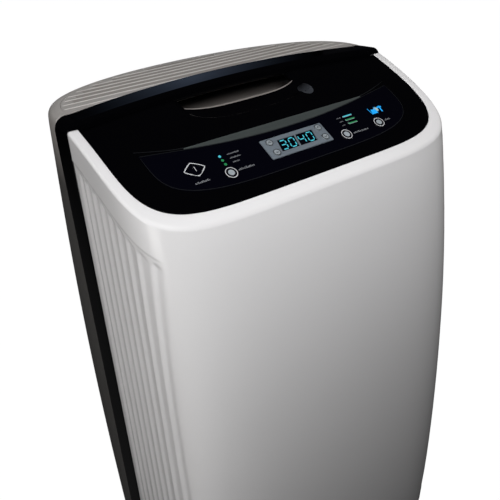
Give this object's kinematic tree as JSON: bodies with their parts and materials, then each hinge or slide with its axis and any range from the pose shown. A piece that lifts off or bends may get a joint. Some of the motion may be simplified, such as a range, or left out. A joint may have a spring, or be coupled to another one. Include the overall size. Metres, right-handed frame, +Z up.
{
  "type": "portable dehumidifier",
  "caption": "Upright room dehumidifier on swivel castors, with a sloping control deck, a wraparound handle band, a louvred rear housing, a pull-out filter grille and a rear water bucket.",
  "frame": {"origin": "centre of the object's outline in plan, on the floor the castors stand on", "axes": "-Y is the front with the controls, +Y the rear with the grille and the bucket, +X the object's left as seen from the rear (the viewer's right from the front), +Z up"},
  "size_m": [0.38, 0.2911, 0.634],
  "materials": {
    "white_shell": "gloss",
    "black_gloss": "high gloss",
    "grey_housing": "satin",
    "dark_plastic": "satin",
    "silver_trim": "satin",
    "graphite_trim": "satin",
    "light_guide": "satin",
    "bucket_plastic": "satin",
    "filter_net": "matte",
    "aluminium_fin": "mill",
    "copper_tube": "drawn",
    "steel_black": "satin",
    "steel_plain": "satin",
    "rubber": "matte",
    "board_green": "satin"
  },
  "bodies": {
    "casing": {"front_shell": "white_shell", "top_deck": "black_gloss", "handle_band": "black_gloss", "control_panel": "black_gloss", "display_glass": "black_gloss", "rear_housing": "grey_housing", "top_louvre": "grey_housing", "handle_cup": "dark_plastic", "base_pan": "dark_plastic", "fan_scroll": "dark_plastic", "outlet_duct": "dark_plastic", "drip_tray": "dark_plastic", "pump": "dark_plastic", "power_box": "dark_plastic", "display_bezel": "silver_trim", "crescent_trim": "graphite_trim", "mode_light_guide": "light_guide", "fan_light_guide": "light_guide", "pump_light_guide": "light_guide", "evaporator": "aluminium_fin", "condenser": "aluminium_fin", "suction_line": "copper_tube", "discharge_line": "copper_tube", "compressor": "steel_black", "accumulator": "steel_black", "fan_motor": "steel_black", "motor_bracket": "steel_plain", "run_capacitor": "steel_plain", "compressor_foot_1": "rubber", "compressor_foot_2": "rubber", "compressor_foot_3": "rubber", "pump_hose": "rubber", "cord_gland": "rubber", "control_board": "board_green"},
    "power_button_cap": {"power_button": "black_gloss"},
    "settings_button_cap": {"settings_button": "black_gloss"},
    "fan_speed_button_cap": {"fan_speed_button": "black_gloss"},
    "pump_button_cap": {"pump_button": "black_gloss"},
    "humidity_up_button_cap": {"humidity_up_button": "black_gloss"},
    "humidity_down_button_cap": {"humidity_down_button": "black_gloss"},
    "timer_up_button_cap": {"timer_up_button": "black_gloss"},
    "timer_down_button_cap": {"timer_down_button": "black_gloss"},
    "water_bucket": {"bucket": "bucket_plastic"},
    "bucket_bail": {"bucket_handle": "dark_plastic"},
    "float_arm": {"bucket_float": "bucket_plastic"},
    "intake_cassette": {"rear_grille": "grey_housing", "filter_frame": "filter_net"},
    "blower": {"fan_wheel": "dark_plastic"},
    "drain_plug": {"drain_cap": "dark_plastic"},
    "castor_1": {"castor_fork_1": "dark_plastic"},
    "roller_1": {"castor_wheel_1": "rubber"},
    "castor_2": {"castor_fork_2": "dark_plastic"},
    "roller_2": {"castor_wheel_2": "rubber"},
    "castor_3": {"castor_fork_3": "dark_plastic"},
    "roller_3": {"castor_wheel_3": "rubber"},
    "castor_4": {"castor_fork_4": "dark_plastic"},
    "roller_4": {"castor_wheel_4": "rubber"}
  },
  "joints": [
    {"name": "power_press", "type": "slide", "parent": "casing", "child": "power_button_cap", "axis": [0, 0.5315, -0.8471], "range_m": [0, 0.001], "stiffness_N_per_m": 600},
    {"name": "settings_press", "type": "slide", "parent": "casing", "child": "settings_button_cap", "axis": [0, 0.5516, -0.8341], "range_m": [0, 0.001], "stiffness_N_per_m": 600},
    {"name": "fan_speed_press", "type": "slide", "parent": "casing", "child": "fan_speed_button_cap", "axis": [0, 0.5514, -0.8342], "range_m": [0, 0.001], "stiffness_N_per_m": 600},
    {"name": "pump_press", "type": "slide", "parent": "casing", "child": "pump_button_cap", "axis": [0, 0.5493, -0.8356], "range_m": [0, 0.001], "stiffness_N_per_m": 600},
    {"name": "humidity_up_press", "type": "slide", "parent": "casing", "child": "humidity_up_button_cap", "axis": [0, 0.5273, -0.8496], "range_m": [0, 0.001], "stiffness_N_per_m": 600},
    {"name": "humidity_down_press", "type": "slide", "parent": "casing", "child": "humidity_down_button_cap", "axis": [0, 0.5451, -0.8384], "range_m": [0, 0.001], "stiffness_N_per_m": 600},
    {"name": "timer_up_press", "type": "slide", "parent": "casing", "child": "timer_up_button_cap", "axis": [0, 0.5273, -0.8496], "range_m": [0, 0.001], "stiffness_N_per_m": 600},
    {"name": "timer_down_press", "type": "slide", "parent": "casing", "child": "timer_down_button_cap", "axis": [0, 0.5451, -0.8384], "range_m": [0, 0.001], "stiffness_N_per_m": 600},
    {"name": "bucket_pull", "type": "slide", "parent": "casing", "child": "water_bucket", "axis": [0, 1, 0], "range_m": [0, 0.2]},
    {"name": "bail_swing", "type": "hinge", "parent": "water_bucket", "child": "bucket_bail", "pos_m": [0, 0.08485, 0.254], "axis": [-1, 0, 0], "range_deg": [0, 90]},
    {"name": "float_lift", "type": "hinge", "parent": "water_bucket", "child": "float_arm", "pos_m": [-0.11, 0.03285, 0.228], "axis": [1, 0, 0], "range_deg": [0, 15]},
    {"name": "intake_pull", "type": "slide", "parent": "casing", "child": "intake_cassette", "axis": [0, 1, 0], "range_m": [0, 0.12]},
    {"name": "blower_spin", "type": "hinge", "parent": "casing", "child": "blower", "pos_m": [0, 0.01485, 0.43], "axis": [0, 1, 0], "continuous": true},
    {"name": "drain_plug_pull", "type": "slide", "parent": "casing", "child": "drain_plug", "axis": [0, 1, 0], "range_m": [0, 0.03]},
    {"name": "castor_swivel_1", "type": "hinge", "parent": "casing", "child": "castor_1", "pos_m": [-0.145, -0.08515, 0.03], "axis": [0, 0, 1], "continuous": true},
    {"name": "castor_roll_1", "type": "hinge", "parent": "castor_1", "child": "roller_1", "pos_m": [-0.145, -0.07815, 0.0115], "axis": [1, 0, 0], "continuous": true},
    {"name": "castor_swivel_2", "type": "hinge", "parent": "casing", "child": "castor_2", "pos_m": [0.145, -0.08515, 0.03], "axis": [0, 0, 1], "continuous": true},
    {"name": "castor_roll_2", "type": "hinge", "parent": "castor_2", "child": "roller_2", "pos_m": [0.145, -0.07815, 0.0115], "axis": [1, 0, 0], "continuous": true},
    {"name": "castor_swivel_3", "type": "hinge", "parent": "casing", "child": "castor_3", "pos_m": [-0.115, 0.05685, 0.03], "axis": [0, 0, 1], "continuous": true},
    {"name": "castor_roll_3", "type": "hinge", "parent": "castor_3", "child": "roller_3", "pos_m": [-0.115, 0.06385, 0.0115], "axis": [1, 0, 0], "continuous": true},
    {"name": "castor_swivel_4", "type": "hinge", "parent": "casing", "child": "castor_4", "pos_m": [0.115, 0.05685, 0.03], "axis": [0, 0, 1], "continuous": true},
    {"name": "castor_roll_4", "type": "hinge", "parent": "castor_4", "child": "roller_4", "pos_m": [0.115, 0.06385, 0.0115], "axis": [1, 0, 0], "continuous": true}
  ]
}
